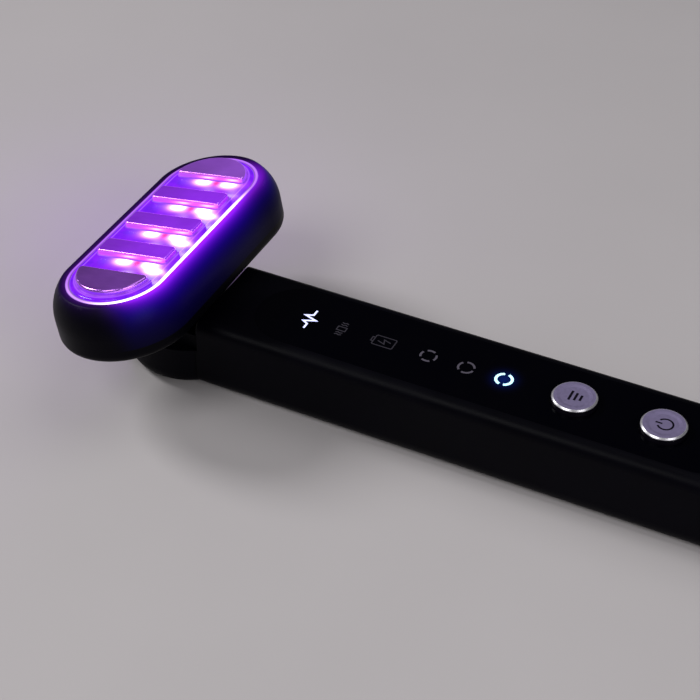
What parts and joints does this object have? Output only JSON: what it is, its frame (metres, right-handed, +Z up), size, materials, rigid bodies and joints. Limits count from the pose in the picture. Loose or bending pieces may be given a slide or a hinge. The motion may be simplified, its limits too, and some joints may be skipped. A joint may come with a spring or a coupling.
{
  "type": "facial care wand",
  "caption": "T-shaped facial care wand: slim bar handle with icon panel and push buttons, and a swivelling stadium head with raised electrodes over a violet-lit lens.",
  "frame": {"origin": "on the flat underside, at the middle of the handle's length and width", "axes": "+X along the handle towards its charging end, the head lies towards -X; +Y across; +Z up from the surface it lies on"},
  "size_m": [0.1682, 0.0612, 0.0304],
  "materials": {
    "black_satin": "satin",
    "black_gloss": "gloss",
    "silver_button": "satin",
    "chrome_electrode": "polished",
    "clear_lens": "clear",
    "lit_ring": "frosted",
    "violet_lamp": "gloss",
    "red_lamp": "gloss",
    "white_tray": "gloss",
    "board_green": "matte",
    "dark_plastic": "matte",
    "foam_grey": "matte",
    "battery_foil": "satin",
    "steel": "satin",
    "acetal_black": "satin",
    "brass_weight": "satin",
    "cable_black": "matte"
  },
  "bodies": {
    "handle": {"handle_lower_shell": "black_satin", "handle_upper_shell": "black_satin", "control_panel": "black_gloss", "light_mask": "dark_plastic", "control_board": "board_green", "indicator_lamps": "violet_lamp", "board_screws": "steel", "switch_housings": "dark_plastic", "battery_pad": "foam_grey", "battery_cell": "battery_foil", "charging_board": "board_green", "charging_port_shell": "steel", "charging_port_tongue": "dark_plastic", "end_cap": "black_satin", "swivel_bush": "acetal_black"},
    "mode_button": {"mode_button_cap": "silver_button", "mode_switch_plunger": "dark_plastic"},
    "power_button": {"power_button_cap": "silver_button", "power_switch_plunger": "dark_plastic"},
    "head": {"head_shell": "black_satin", "head_base": "black_satin", "light_ring": "lit_ring", "lens": "clear_lens", "electrode_end_near": "chrome_electrode", "electrode_bar_near": "chrome_electrode", "electrode_bar_middle": "chrome_electrode", "electrode_bar_far": "chrome_electrode", "electrode_end_far": "chrome_electrode", "lamp_board": "board_green", "violet_lamps": "violet_lamp", "red_lamps": "red_lamp", "reflector_tray": "white_tray", "motor_bracket": "dark_plastic", "motor_can": "steel", "swivel_stem": "steel", "stem_screws": "steel", "friction_washer": "acetal_black", "retaining_clip": "steel", "swivel_collar": "black_satin", "head_cable": "cable_black"},
    "motor_rotor": {"motor_shaft": "steel", "eccentric_weight": "brass_weight"}
  },
  "joints": [
    {"name": "head_swivel", "type": "hinge", "parent": "handle", "child": "head", "pos_m": [-0.07905, 0, 0], "axis": [-0.1736, 0, 0.9848], "range_deg": [-90, 90]},
    {"name": "mode_press", "type": "slide", "parent": "handle", "child": "mode_button", "axis": [0, 0, -1], "range_m": [0, 0.0005], "stiffness_N_per_m": 2000},
    {"name": "power_press", "type": "slide", "parent": "handle", "child": "power_button", "axis": [0, 0, -1], "range_m": [0, 0.0005], "stiffness_N_per_m": 2000},
    {"name": "motor_spin", "type": "hinge", "parent": "head", "child": "motor_rotor", "pos_m": [-0.08271, 0, 0.02073], "axis": [0, 1, 0], "continuous": true}
  ]
}
